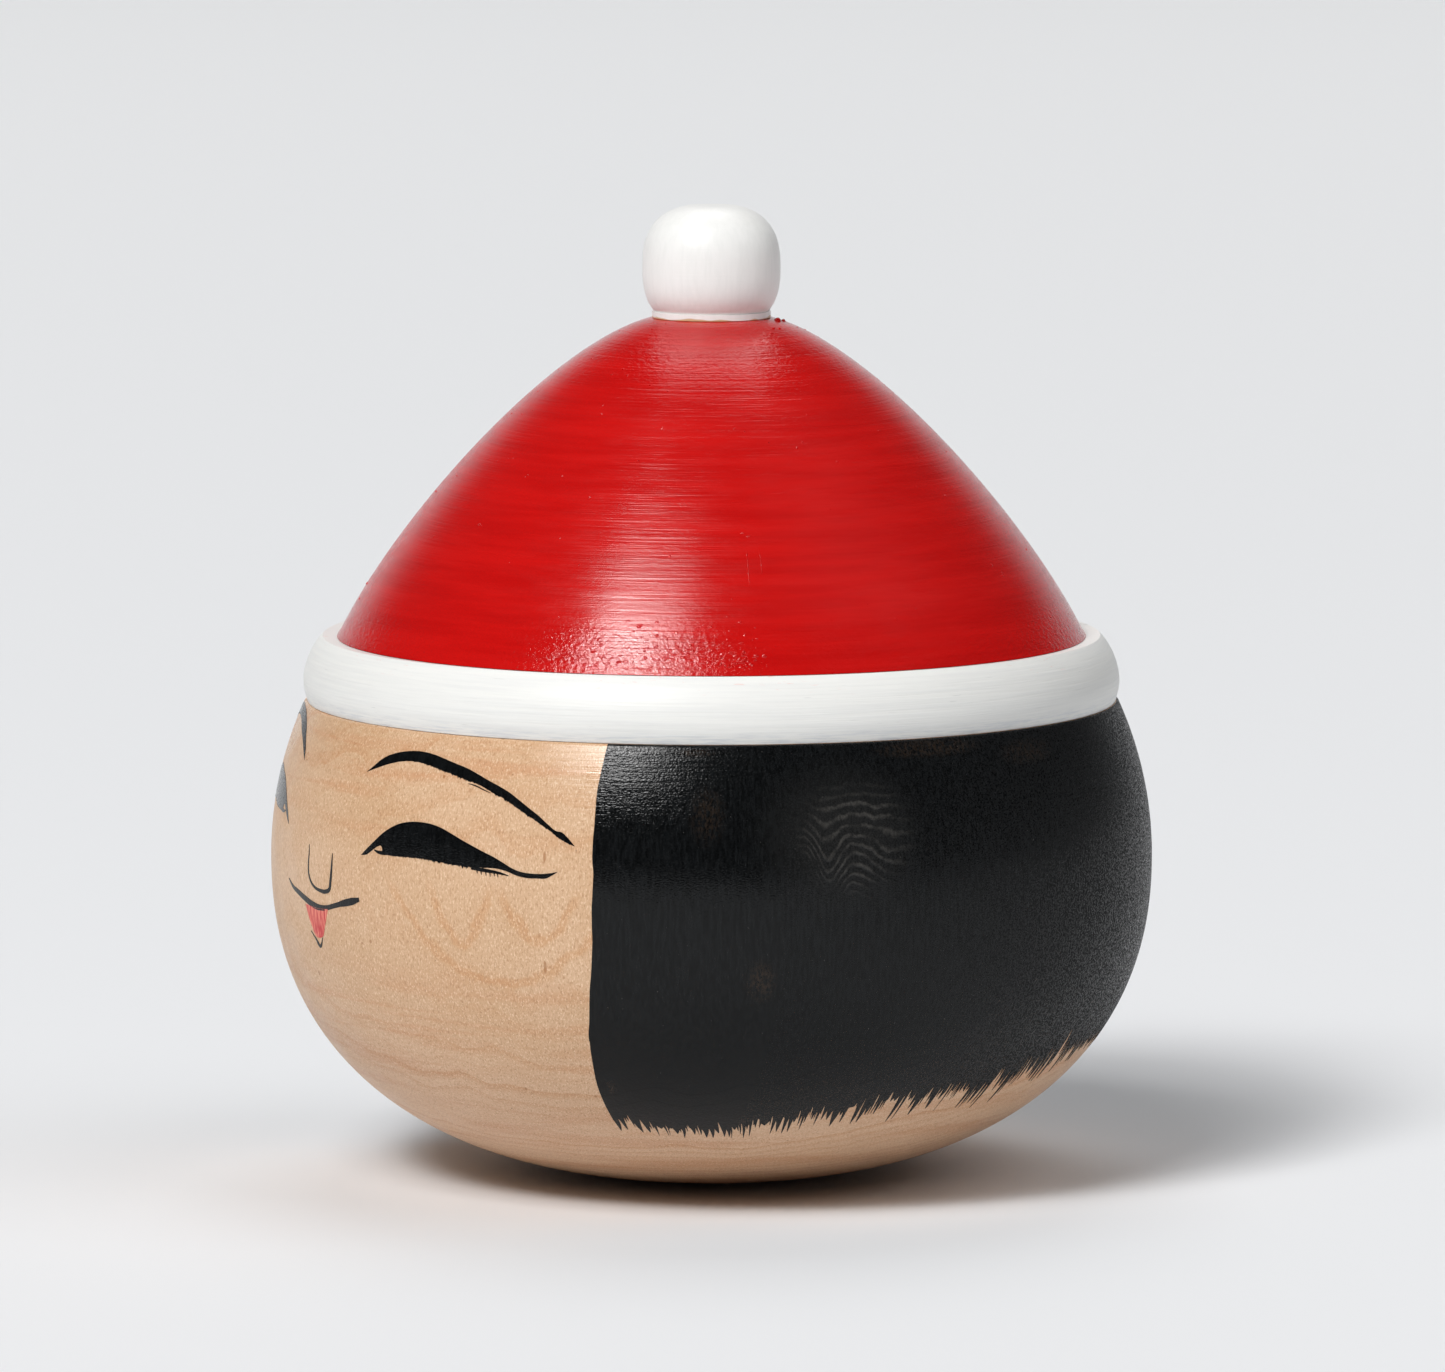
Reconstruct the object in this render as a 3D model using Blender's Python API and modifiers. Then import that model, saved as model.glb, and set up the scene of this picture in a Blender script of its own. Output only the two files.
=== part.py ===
"""Turned wooden daruma doll with a lift-off hat.

The doll stands on its foot at the origin, +Z up, with its face towards -Y. It comes
apart into a hollow round head with a spigot inside its rim, a domed hat crown whose
socket drops over the spigot, a half-round ring under the crown's lip, a bobble on a
tenon, and a steel slug under a wooden plug in the floor of the head. The slug keeps the
weight low, so the doll stands up again when it is pushed over.
"""

import math

import bpy

MM = 0.001
GAP = 0.3 * MM  # left between any two pieces that touch or fit together

# Head: a superellipse below its widest ring and an ellipse above it.
HEAD_RADIUS = 45.1 * MM
WIDEST_Z = 32.7 * MM
DEPTH_BELOW = 32.9 * MM  # the foot is cut off flat just above the curve's lowest point
HEIGHT_ABOVE = 41.0 * MM
SIDE_POWER = 0.8
RISE_POWER = 0.9
SHOULDER_Z = 48.6 * MM  # the ledge that the hat stands on

# Spigot and hollow of the head.
SPIGOT_RADIUS = 33.5 * MM
SPIGOT_TOP_Z = 55.0 * MM
SPIGOT_CHAMFER = 0.6 * MM
MOUTH_RADIUS = 30.5 * MM
MOUTH_BOTTOM_Z = 46.0 * MM
CAVITY_RADIUS = 36.5 * MM
CAVITY_WIDEST_Z = 33.0 * MM
FLOOR_Z = 13.0 * MM
FLOOR_RADIUS = 17.5 * MM

# Righting weight and its plug, in a pocket in the floor.
POCKET_Z = 4.0 * MM
WEIGHT_RADIUS = 16.0 * MM
WEIGHT_HEIGHT = 6.0 * MM
SMALL_BEVEL = 0.5 * MM

# Hat crown: a dome between its lip and its flat top, over a socket and a hollow.
LIP_RADIUS = 38.0 * MM
LIP_Z = 55.5 * MM
LIP_UNDERSIDE_Z = 55.3 * MM
DOME_PULL_LOW = (32.0 * MM, 67.5 * MM)
DOME_PULL_HIGH = (16.0 * MM, 85.3 * MM)
DOME_TOP_RADIUS = 6.0 * MM
DOME_TOP_Z = 87.7 * MM
CROWN_FOOT_RADIUS = 36.5 * MM
HOLLOW_RADIUS = 31.0 * MM
HOLLOW_PULL_LOW = (28.5 * MM, 66.0 * MM)
HOLLOW_PULL_HIGH = (16.0 * MM, 74.0 * MM)
HOLLOW_TOP_Z = 74.0 * MM

# Hat band: a superellipse ring, cut off flat where it stands on the shoulder.
BAND_SHELL_RADIUS = 38.0 * MM
BAND_SWELL = 3.7 * MM
BAND_MIDDLE_Z = 50.7 * MM
BAND_HALF_HEIGHT = 5.4 * MM
BAND_POWER = 1.14

# Pompom: a superellipse ball with a collar, a flat top and a tenon.
POMPOM_RADIUS = 7.05 * MM
POMPOM_HALF_HEIGHT = 6.45 * MM
POMPOM_MIDDLE_Z = 92.8 * MM
POMPOM_POWER = 0.77
POMPOM_FLAT_RADIUS = 2.6 * MM
COLLAR_RADIUS = 6.05 * MM
COLLAR_HEIGHT = 0.35 * MM
TENON_RADIUS = 4.0 * MM
TENON_LENGTH = 8.5 * MM

HAT_SEAT_Z = SHOULDER_Z + GAP
SOCKET_RADIUS = SPIGOT_RADIUS + GAP
SOCKET_TOP_Z = SPIGOT_TOP_Z + GAP
TURN_STEPS = 48
SHARP_ANGLE = math.radians(30)

COLOURS = {  # base colour, roughness and metallic value
    "pale_wood": ((0.69, 0.46, 0.29), 0.45, 0.0),
    "red_enamel": ((0.58, 0.012, 0.008), 0.12, 0.0),
    "white_paint": ((0.86, 0.83, 0.78), 0.3, 0.0),
    "steel": ((0.45, 0.44, 0.43), 0.35, 1.0),
}


def clear_scene():
    for obj in list(bpy.data.objects):
        bpy.data.objects.remove(obj, do_unlink=True)


def material(name):
    made = bpy.data.materials.get(name) or bpy.data.materials.new(name)
    made.use_nodes = True
    colour, roughness, metallic = COLOURS[name]
    shader = made.node_tree.nodes["Principled BSDF"]
    shader.inputs["Base Color"].default_value = (*colour, 1.0)
    shader.inputs["Roughness"].default_value = roughness
    shader.inputs["Metallic"].default_value = metallic
    made.diffuse_color = (*colour, 1.0)
    return made


def power(value, exponent):
    """A signed power, so that a superellipse also holds past its quarter points."""
    return math.copysign(abs(value) ** exponent, value)


def superellipse(centre, half_size, powers, start, end, count):
    """Points (radius, height) from one angle to another, in radians above the middle."""
    points = []
    for step in range(count + 1):
        angle = start + (end - start) * step / count
        points.append((
            centre[0] + half_size[0] * power(math.cos(angle), powers[0]),
            centre[1] + half_size[1] * power(math.sin(angle), powers[1]),
        ))
    return points


def bezier(ends_and_pulls, count):
    a, b, c, d = ends_and_pulls
    points = []
    for step in range(count + 1):
        t = step / count
        weights = ((1 - t) ** 3, 3 * t * (1 - t) ** 2, 3 * t * t * (1 - t), t ** 3)
        points.append(tuple(
            sum(weight * point[axis] for weight, point in zip(weights, (a, b, c, d)))
            for axis in (0, 1)
        ))
    return points


def height_angle(height, half_height, exponent):
    """The superellipse angle at which its height above the middle is this height."""
    return math.asin(power(height / half_height, 1 / exponent))


def head_side():
    """The head's outer side, from the shoulder down to the edge of the flat foot."""
    shoulder = height_angle(SHOULDER_Z - WIDEST_Z, HEIGHT_ABOVE, 1.0)
    foot = -height_angle(WIDEST_Z, DEPTH_BELOW, RISE_POWER)
    middle = (0.0, WIDEST_Z)
    above = superellipse(middle, (HEAD_RADIUS, HEIGHT_ABOVE), (1.0, 1.0), shoulder, 0.0, 5)
    below = superellipse(
        middle, (HEAD_RADIUS, DEPTH_BELOW), (SIDE_POWER, RISE_POWER), 0.0, foot, 20
    )
    return above + below[1:]


def head_hollow():
    """The head's inside, from the edge of its floor up to the mouth."""
    mouth = math.acos(MOUTH_RADIUS / CAVITY_RADIUS)
    rise = (MOUTH_BOTTOM_Z - CAVITY_WIDEST_Z) / math.sin(mouth)
    below = superellipse(
        (FLOOR_RADIUS, CAVITY_WIDEST_Z),
        (CAVITY_RADIUS - FLOOR_RADIUS, CAVITY_WIDEST_Z - FLOOR_Z),
        (1.0, 1.0), -math.pi / 2, 0.0, 8,
    )
    above = superellipse((0.0, CAVITY_WIDEST_Z), (CAVITY_RADIUS, rise), (1.0, 1.0), 0.0, mouth, 4)
    return below + above[1:]


def head_profile():
    pocket_radius = WEIGHT_RADIUS + GAP
    pocket = [(0.0, POCKET_Z), (pocket_radius, POCKET_Z), (pocket_radius, FLOOR_Z)]
    spigot = [
        (MOUTH_RADIUS, SPIGOT_TOP_Z - SPIGOT_CHAMFER),
        (MOUTH_RADIUS + SPIGOT_CHAMFER, SPIGOT_TOP_Z),
        (SPIGOT_RADIUS - SPIGOT_CHAMFER, SPIGOT_TOP_Z),
        (SPIGOT_RADIUS, SPIGOT_TOP_Z - SPIGOT_CHAMFER),
        (SPIGOT_RADIUS, SHOULDER_Z),
    ]
    return pocket + head_hollow() + spigot + head_side() + [(0.0, 0.0)]


def crown_profile():
    hole_radius = TENON_RADIUS + GAP
    hole_bottom = DOME_TOP_Z - TENON_LENGTH - GAP
    hole = [(0.0, hole_bottom), (hole_radius, hole_bottom), (hole_radius, DOME_TOP_Z)]
    dome = bezier(
        ((DOME_TOP_RADIUS, DOME_TOP_Z), DOME_PULL_HIGH, DOME_PULL_LOW, (LIP_RADIUS, LIP_Z)), 18
    )
    foot = [
        (LIP_RADIUS, LIP_UNDERSIDE_Z),
        (CROWN_FOOT_RADIUS, LIP_UNDERSIDE_Z),
        (CROWN_FOOT_RADIUS, HAT_SEAT_Z),
        (SOCKET_RADIUS, HAT_SEAT_Z),
        (SOCKET_RADIUS, SOCKET_TOP_Z),
    ]
    hollow = bezier(
        ((HOLLOW_RADIUS, SOCKET_TOP_Z), HOLLOW_PULL_LOW, HOLLOW_PULL_HIGH, (0.0, HOLLOW_TOP_Z)),
        10,
    )
    return hole + dome + foot + hollow


def band_profile():
    """A closed loop, from under the crown's lip round the outside and up the bore."""
    bore = CROWN_FOOT_RADIUS + GAP
    under_lip = LIP_UNDERSIDE_Z - GAP
    edge = LIP_RADIUS + GAP
    top = math.acos(((edge - BAND_SHELL_RADIUS) / BAND_SWELL) ** (1 / BAND_POWER))
    bottom = height_angle(HAT_SEAT_Z - BAND_MIDDLE_Z, BAND_HALF_HEIGHT, BAND_POWER)
    outside = superellipse(
        (BAND_SHELL_RADIUS, BAND_MIDDLE_Z), (BAND_SWELL, BAND_HALF_HEIGHT),
        (BAND_POWER, BAND_POWER), top, bottom, 12,
    )
    return [(bore, under_lip), (edge, under_lip)] + outside + [(bore, HAT_SEAT_Z)]


def pompom_profile():
    seat = DOME_TOP_Z + GAP
    neck = seat + COLLAR_HEIGHT
    top = math.acos((POMPOM_FLAT_RADIUS / POMPOM_RADIUS) ** (1 / POMPOM_POWER))
    bottom = height_angle(neck - POMPOM_MIDDLE_Z, POMPOM_HALF_HEIGHT, POMPOM_POWER)
    ball = superellipse(
        (0.0, POMPOM_MIDDLE_Z), (POMPOM_RADIUS, POMPOM_HALF_HEIGHT),
        (POMPOM_POWER, POMPOM_POWER), top, bottom, 16,
    )
    tenon_end = DOME_TOP_Z - TENON_LENGTH
    collar_and_tenon = [
        (COLLAR_RADIUS, neck), (COLLAR_RADIUS, seat), (TENON_RADIUS, seat),
        (TENON_RADIUS, tenon_end), (0.0, tenon_end),
    ]
    return [(0.0, ball[0][1])] + ball + collar_and_tenon


def smooth_shaded(mesh):
    mesh.shade_smooth()
    mesh.set_sharp_from_angle(angle=SHARP_ANGLE)


def stand(obj, parent, base_z, material_name, collection):
    """Puts a piece in the collection and on its parent, at its height above the foot."""
    for holder in list(obj.users_collection):
        holder.objects.unlink(obj)
    collection.objects.link(obj)
    obj.data.materials.append(material(material_name))
    obj.parent = parent
    obj.location = (0.0, 0.0, base_z - parent.location.z)


def turn(name, profile, base_z, closed=False):
    """A turned piece: the profile, given in heights above the foot, spun about Z."""
    mesh = bpy.data.meshes.new(name)
    count = len(profile)
    edges = [(i, (i + 1) % count) for i in range(count if closed else count - 1)]
    mesh.from_pydata([(radius, 0.0, z - base_z) for radius, z in profile], edges, [])
    obj = bpy.data.objects.new(name, mesh)
    bpy.context.scene.collection.objects.link(obj)
    screw = obj.modifiers.new("turning", "SCREW")
    screw.axis = "Z"
    screw.angle = math.tau
    screw.steps = screw.render_steps = TURN_STEPS
    screw.use_merge_vertices = True
    screw.merge_threshold = 0.00001
    bpy.context.view_layer.update()
    evaluated = obj.evaluated_get(bpy.context.evaluated_depsgraph_get())
    turned = bpy.data.meshes.new_from_object(evaluated)
    obj.modifiers.clear()
    obj.data = turned
    bpy.data.meshes.remove(mesh)
    turned.name = name
    smooth_shaded(turned)
    return obj


def disc(name, radius, height):
    """A cylinder with its origin at the middle of its lower face."""
    bpy.ops.mesh.primitive_cylinder_add(
        vertices=TURN_STEPS, radius=radius, depth=height, location=(0.0, 0.0, 0.0)
    )
    obj = bpy.context.active_object
    obj.name = obj.data.name = name
    for vertex in obj.data.vertices:
        vertex.co.z += height / 2
    bevel = obj.modifiers.new("eased_edges", "BEVEL")
    bevel.width = SMALL_BEVEL
    bevel.segments = 2
    bevel.limit_method = "ANGLE"
    smooth_shaded(obj.data)
    return obj


def group_empty(name, height, parent, collection):
    empty = bpy.data.objects.new(name, None)
    empty.empty_display_size = 10 * MM
    empty.location.z = height
    empty.parent = parent
    collection.objects.link(empty)
    return empty


def build():
    clear_scene()
    collection = bpy.data.collections.new("daruma_doll")
    bpy.context.scene.collection.children.link(collection)
    doll = group_empty("doll", 0.0, None, collection)
    hat = group_empty("hat_lift", HAT_SEAT_Z, doll, collection)

    weight_z = POCKET_Z + GAP
    plug_z = weight_z + WEIGHT_HEIGHT + GAP
    stand(turn("head_bowl", head_profile(), 0.0), doll, 0.0, "pale_wood", collection)
    stand(
        disc("righting_weight", WEIGHT_RADIUS, WEIGHT_HEIGHT),
        doll, weight_z, "steel", collection,
    )
    stand(
        disc("weight_plug", WEIGHT_RADIUS, FLOOR_Z - plug_z),
        doll, plug_z, "pale_wood", collection,
    )
    stand(
        turn("hat_crown", crown_profile(), HAT_SEAT_Z),
        hat, HAT_SEAT_Z, "red_enamel", collection,
    )
    stand(
        turn("hat_band", band_profile(), HAT_SEAT_Z, closed=True),
        hat, HAT_SEAT_Z, "white_paint", collection,
    )
    stand(
        turn("pompom", pompom_profile(), DOME_TOP_Z),
        hat, DOME_TOP_Z, "white_paint", collection,
    )


build()
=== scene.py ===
"""Looks of a turned wooden daruma doll with a lift-off hat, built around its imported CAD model.

Lengths are millimetres until vertices are made. Angles round the doll are degrees from the
middle of its face, growing towards its left side. A painted mark is a film: a thin sheet
laid on the head's surface, with its edges turned down into the wood.
"""

import math

import bpy
import numpy as np
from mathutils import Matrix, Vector


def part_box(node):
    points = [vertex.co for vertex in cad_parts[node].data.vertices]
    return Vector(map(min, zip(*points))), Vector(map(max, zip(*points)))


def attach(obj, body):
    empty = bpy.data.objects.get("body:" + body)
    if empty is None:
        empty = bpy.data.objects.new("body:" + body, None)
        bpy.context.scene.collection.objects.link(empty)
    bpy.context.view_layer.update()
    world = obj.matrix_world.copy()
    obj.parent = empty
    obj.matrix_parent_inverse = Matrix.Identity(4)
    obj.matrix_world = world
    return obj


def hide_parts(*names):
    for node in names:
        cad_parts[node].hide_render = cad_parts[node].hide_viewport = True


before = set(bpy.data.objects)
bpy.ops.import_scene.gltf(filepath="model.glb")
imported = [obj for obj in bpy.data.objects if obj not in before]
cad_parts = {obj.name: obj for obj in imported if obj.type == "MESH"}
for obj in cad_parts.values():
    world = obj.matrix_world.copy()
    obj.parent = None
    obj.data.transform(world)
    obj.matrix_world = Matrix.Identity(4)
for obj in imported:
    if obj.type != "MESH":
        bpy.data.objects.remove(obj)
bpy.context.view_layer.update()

MM = 0.001
HEAD, HAT = "head", "hat"
SHARP_ANGLE = math.radians(30)


def size_of(node):
    """A turned node's outer radius, lowest height and highest height, in mm."""
    low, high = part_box(node)
    return high.x / MM, low.z / MM, high.z / MM


HEAD_CAD_RADIUS, _, SPIGOT_TOP_Z = size_of("head_bowl")
LIP_RADIUS, HAT_SEAT_Z, DOME_TOP_Z = size_of("hat_crown")
BAND_RADIUS, _, _ = size_of("hat_band")
POMPOM_RADIUS, TENON_END_Z, _ = size_of("pompom")
PLUG_RADIUS, PLUG_Z, FLOOR_Z = size_of("weight_plug")
_, WEIGHT_Z, WEIGHT_TOP_Z = size_of("righting_weight")

# Head, as the CAD has it. Its wood stays just inside the CAD radius, to leave room for paint.
PAINT_ROOM = 0.05
HEAD_RADIUS = HEAD_CAD_RADIUS - PAINT_ROOM
WIDEST_Z = 32.7
DEPTH_BELOW = 32.9
HEIGHT_ABOVE = 41.0
SIDE_POWER = 0.8
RISE_POWER = 0.9
SHOULDER_Z = 48.6
SHOULDER_ROUND = 0.25
SPIGOT_RADIUS = 33.5
SPIGOT_CHAMFER = 0.6
MOUTH_RADIUS = 30.5
MOUTH_BOTTOM_Z = 46.0
CAVITY_RADIUS = 36.5
CAVITY_WIDEST_Z = 33.0
FLOOR_RADIUS = 17.5
POCKET_Z = 4.0
POCKET_EDGE = 0.3
SHOULDER_INNER_RADIUS = 37.5
FIT_GAP = 0.3

# The weight and the plug over it are discs with bevelled rims.
DISC_BEVEL = 0.5
DISC_BEVEL_ROUND = 0.15
DISC_INNER_RADIUS = 8.0

# Hat crown, band and pompom, as the CAD has them.
DOME_CURVE = ((6.0, DOME_TOP_Z), (16.0, 85.3), (32.0, 67.5), (LIP_RADIUS, 55.5))
HOLLOW_CURVE = ((31.0, SPIGOT_TOP_Z + FIT_GAP), (28.5, 66.0), (16.0, 74.0), (0.0, 74.0))
LIP_UNDERSIDE_Z = 55.3
LIP_THICKNESS = 0.3
CROWN_FOOT_RADIUS = 36.5
SOCKET_CHAMFER = 0.4
BAND_SHELL_RADIUS = 38.0
BAND_MIDDLE_Z = 50.7
BAND_HALF_HEIGHT = 5.4
BAND_POWER = 1.14
BAND_INNER_TOP_RADIUS = 37.4
BAND_SEAT_Z = HAT_SEAT_Z - 0.25  # the band hides the joint between hat and head
GLUE_GAP = 0.02
POMPOM_HALF_HEIGHT = 6.45
POMPOM_MIDDLE_Z = 92.8
POMPOM_POWER = 0.77
POMPOM_FLAT_RADIUS = 2.6
COLLAR_RADIUS = 6.05
COLLAR_TOP_Z = 88.35
TENON_RADIUS = 4.0

# Paint films, and the segments round each turned piece.
FILM_LIFT = 0.03
FILM_DEPTH = 0.02
DISC_SEGMENTS = 128
POMPOM_SEGMENTS = 256
HEAD_SEGMENTS = 384
HAT_SEGMENTS = 512
HAIR_SEAM_Z = 19.0
HAIR_TOP_Z = SHOULDER_Z - 0.02

# Camera and light.
CAMERA_AZIMUTH = 62.0
CAMERA_ELEVATION = 6.4
CAMERA_DISTANCE = 1.2
CAMERA_LENS = 292.4
SENSOR_WIDTH = 36.0
AIM_RIGHT = 1.13
AIM_Z = 49.86
LIGHT_AIM_Z = 50.0
FLOOR_RINGS = (0.5, 2.0, 9.0)  # metres
FLOOR_SEGMENTS = 64
# Painted light: the floor's colour grows paler with distance, making up for the light falling off.
FLOOR_NEAR, FLOOR_FAR = (0.80, 0.81, 0.83), (0.93, 0.94, 0.955)
FLOOR_FADE = (150.0, 2600.0)
BACKDROP_GLOW = (0.62, 1.0, 0.055, 0.72)  # facing it from, to; strength from, to
BACKDROP_DROP = -0.15
SOFTBOXES = (  # name, azimuth, elevation, distance, size, watts, colour, seen in reflections
    ("key_softbox", CAMERA_AZIMUTH - 31, 48, 9.0, (3.7, 4.2), 490.0, (1.0, 0.995, 0.985), True),
    ("key_centre", CAMERA_AZIMUTH - 33, 43, 8.7, (2.0, 1.7), 268.0, (1.0, 0.995, 0.985), True),
    ("back_softbox", CAMERA_AZIMUTH + 179, 59.5, 7.5, (3.6, 4.2), 112.0, (1.0, 1.0, 1.0), True),
    ("fill_softbox", CAMERA_AZIMUTH + 75, 50, 8.0, (6.0, 6.0), 136.0, (1.0, 1.0, 1.0), False),
)


# -------- curves and meshes

def power(values, exponent):
    return np.sign(values) * np.abs(values) ** exponent


def superellipse(centre, half_size, powers, angles):
    """Points (radius, height) at these angles above the middle, in radians."""
    return np.column_stack((
        centre[0] + half_size[0] * power(np.cos(angles), powers[0]),
        centre[1] + half_size[1] * power(np.sin(angles), powers[1]),
    ))


def height_angle(height, half_height, exponent):
    share = height / half_height
    return math.asin(math.copysign(abs(share) ** (1 / exponent), share))


def bezier(points, count):
    t = np.linspace(0, 1, count)[:, None]
    a, b, c, d = (np.array(point, float) for point in points)
    return (1 - t) ** 3 * a + 3 * t * (1 - t) ** 2 * b + 3 * t * t * (1 - t) * c + t ** 3 * d


def evenly(points, step):
    """The same line, with points about this far apart and its two ends kept."""
    points = np.asarray(points, float)
    along = np.concatenate(([0], np.cumsum(np.linalg.norm(np.diff(points, axis=0), axis=1))))
    count = max(2, int(round(along[-1] / step)) + 1)
    at = np.linspace(0, along[-1], count)
    return np.column_stack([np.interp(at, along, points[:, axis]) for axis in (0, 1)])


def smooth_curve(points, count):
    """A cubic curve through the points, sampled evenly along them."""
    points = np.asarray(points, float)
    steps = np.linalg.norm(np.diff(points, axis=0), axis=1)
    knots = np.concatenate(([0], np.cumsum(steps)))
    slopes = np.gradient(points, knots, axis=0)
    at = np.linspace(0, knots[-1], count)
    index = np.clip(np.searchsorted(knots, at, side="right") - 1, 0, len(steps) - 1)
    span = steps[index][:, None]
    t = (at - knots[index])[:, None] / span
    a, b = points[index], points[index + 1]
    pull_a, pull_b = slopes[index] * span, slopes[index + 1] * span
    return (
        (2 * t ** 3 - 3 * t ** 2 + 1) * a + (t ** 3 - 2 * t ** 2 + t) * pull_a
        + (3 * t ** 2 - 2 * t ** 3) * b + (t ** 3 - t ** 2) * pull_b
    )


def wobble(count, scale, seed):
    """Smooth random values in about -1 to 1, changing over about this many samples."""
    rng = np.random.default_rng(seed)
    knots = rng.uniform(-1, 1, int(count / scale) + 4)
    at = np.arange(count) / scale
    low = at.astype(int)
    t = at - low
    t = t * t * (3 - 2 * t)
    return knots[low] * (1 - t) + knots[low + 1] * t


def placed(radius, angle, height):
    """World points in metres; the angle is in degrees from the face, towards +X."""
    turn = np.radians(angle)
    return np.stack((radius * np.sin(turn), -radius * np.cos(turn), height + 0 * turn), -1) * MM


def grid_faces(rows, columns, wrap, start=0):
    """Quads that face outwards when rows run downwards and columns grow in angle."""
    across = columns if wrap else columns - 1
    i, j = np.meshgrid(np.arange(rows - 1), np.arange(across), indexing="ij")
    k = (j + 1) % columns
    quads = np.stack((i * columns + j, (i + 1) * columns + j,
                      (i + 1) * columns + k, i * columns + k), -1)
    return (quads.reshape(-1, 4) + start).tolist()


def added(name, data):
    """A new object in the scene."""
    made = bpy.data.objects.new(name, data)
    bpy.context.scene.collection.objects.link(made)
    return made


def new_piece(name, vertices, faces, body, material, replaced=()):
    mesh = bpy.data.meshes.new(name)
    mesh.from_pydata(np.asarray(vertices).reshape(-1, 3).tolist(), [], faces)
    mesh.validate()
    mesh.shade_smooth()
    mesh.set_sharp_from_angle(angle=SHARP_ANGLE)
    mesh.materials.append(material)
    piece = added(name, mesh)
    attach(piece, body)
    if replaced:
        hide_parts(*replaced)
    return piece


def turned(name, profile, segments, body, material, replaced):
    """A solid of revolution. A profile that starts on the axis ends on it; any other is a loop."""
    profile = np.asarray(profile, float)
    loop = profile[0, 0] > 1e-6
    rings = profile if loop else profile[1:-1]
    angle = np.arange(segments) * 360 / segments
    radius = np.repeat(rings[:, :1], segments, axis=1)
    height = np.repeat(rings[:, 1:], segments, axis=1)
    vertices = placed(radius, np.broadcast_to(angle, radius.shape), height).reshape(-1, 3)
    count = len(rings)
    last = (count - 1) * segments
    faces = grid_faces(count, segments, True)
    if loop:
        faces += [[last + j, j, (j + 1) % segments, last + (j + 1) % segments]
                  for j in range(segments)]
    else:
        poles = placed(np.zeros(2), np.zeros(2), profile[[0, -1], 1])
        vertices = np.vstack((vertices, poles))
        top, bottom = count * segments, count * segments + 1
        for j in range(segments):
            k = (j + 1) % segments
            faces += [[top, j, k], [bottom, last + k, last + j]]
    return new_piece(name, vertices, faces, body, material, replaced)


# -------- profiles

def head_radius(height):
    """The head's outer radius at a height, in mm."""
    height = np.asarray(height, float)
    above = np.sqrt(np.clip(1 - ((height - WIDEST_Z) / HEIGHT_ABOVE) ** 2, 0, 1))
    sine = np.clip((WIDEST_Z - height) / DEPTH_BELOW, 0, 1) ** (1 / RISE_POWER)
    below = np.clip(1 - sine ** 2, 0, 1) ** (SIDE_POWER / 2)
    over = np.clip(height - SHOULDER_Z + SHOULDER_ROUND, 0, SHOULDER_ROUND)
    rounding = SHOULDER_ROUND - np.sqrt(SHOULDER_ROUND ** 2 - over ** 2)
    return HEAD_RADIUS * np.where(height >= WIDEST_Z, above, below) - rounding


def head_profile():
    pocket_radius = PLUG_RADIUS + FIT_GAP
    mouth = math.acos(MOUTH_RADIUS / CAVITY_RADIUS)
    rise = (MOUTH_BOTTOM_Z - CAVITY_WIDEST_Z) / math.sin(mouth)
    hollow_low = superellipse(
        (FLOOR_RADIUS, CAVITY_WIDEST_Z), (CAVITY_RADIUS - FLOOR_RADIUS, CAVITY_WIDEST_Z - FLOOR_Z),
        (1, 1), np.linspace(-math.pi / 2, 0, 26),
    )
    hollow_high = superellipse(
        (0, CAVITY_WIDEST_Z), (CAVITY_RADIUS, rise), (1, 1), np.linspace(0, mouth, 12)
    )
    foot = -height_angle(WIDEST_Z, DEPTH_BELOW, RISE_POWER)
    below = superellipse(
        (0, WIDEST_Z), (HEAD_RADIUS, DEPTH_BELOW), (SIDE_POWER, RISE_POWER),
        np.linspace(0, foot, 2000),
    )
    above_z = np.concatenate((
        np.linspace(SHOULDER_Z, SHOULDER_Z - SHOULDER_ROUND, 7), np.linspace(48, WIDEST_Z, 38)
    ))
    above = np.column_stack((head_radius(above_z), above_z))
    chamfer = SPIGOT_CHAMFER
    return np.vstack((
        [(0, POCKET_Z), (pocket_radius, POCKET_Z), (pocket_radius, FLOOR_Z - POCKET_EDGE),
         (pocket_radius + POCKET_EDGE, FLOOR_Z)],
        hollow_low, hollow_high[1:],
        [(MOUTH_RADIUS, 49), (MOUTH_RADIUS, 52), (MOUTH_RADIUS, SPIGOT_TOP_Z - chamfer),
         (MOUTH_RADIUS + chamfer, SPIGOT_TOP_Z), (SPIGOT_RADIUS - chamfer, SPIGOT_TOP_Z),
         (SPIGOT_RADIUS, SPIGOT_TOP_Z - chamfer), (SPIGOT_RADIUS, 51.5),
         (SPIGOT_RADIUS, SHOULDER_Z), (SHOULDER_INNER_RADIUS, SHOULDER_Z)],
        above, evenly(below, 0.5)[1:], [(0, 0)],
    ))


def disc_profile(top, bottom, round_foot):
    """A disc's outline with a bevelled rim, whose lower bevel is rounded too if asked for."""
    rim = [(PLUG_RADIUS - DISC_BEVEL, top),
           (PLUG_RADIUS - DISC_BEVEL_ROUND, top - DISC_BEVEL_ROUND),
           (PLUG_RADIUS, top - DISC_BEVEL), (PLUG_RADIUS, bottom + DISC_BEVEL)]
    if round_foot:
        rim.append((PLUG_RADIUS - DISC_BEVEL_ROUND, bottom + DISC_BEVEL_ROUND))
    rim.append((PLUG_RADIUS - DISC_BEVEL, bottom))
    return [(0, top), (DISC_INNER_RADIUS, top), *rim, (DISC_INNER_RADIUS, bottom), (0, bottom)]


# -------- materials

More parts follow.
